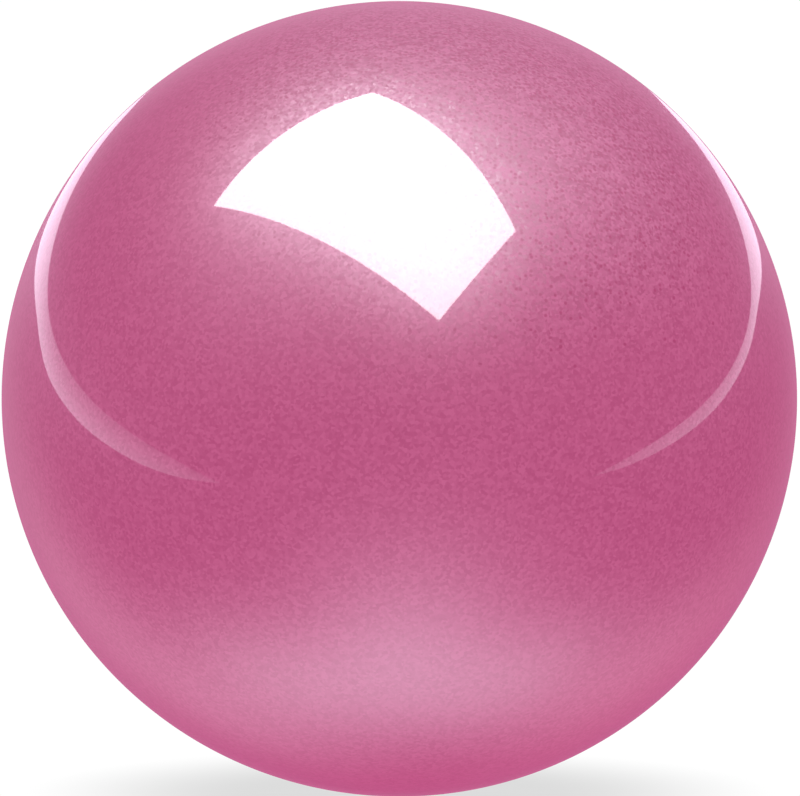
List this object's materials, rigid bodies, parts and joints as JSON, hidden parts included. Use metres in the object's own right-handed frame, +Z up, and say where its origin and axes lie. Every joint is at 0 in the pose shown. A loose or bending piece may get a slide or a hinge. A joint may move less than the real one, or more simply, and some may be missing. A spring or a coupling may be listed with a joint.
{
  "type": "cue ball",
  "caption": "Glossy pearlescent pink billiard ball with no number or mark: a solid sphere cast in layers, struck by a cue and free to roll.",
  "frame": {"origin": "centre of the ball", "axes": "+Z up; X and Y are free, because the ball looks the same along every axis"},
  "size_m": [0.0572, 0.0572, 0.0572],
  "materials": {
    "filled_resin": "matte",
    "pink_resin": "satin",
    "pearl_resin": "polished"
  },
  "bodies": {
    "root": {"filled_core": "filled_resin", "colour_layer": "pink_resin", "pearl_shell": "pearl_resin"}
  },
  "joints": []
}
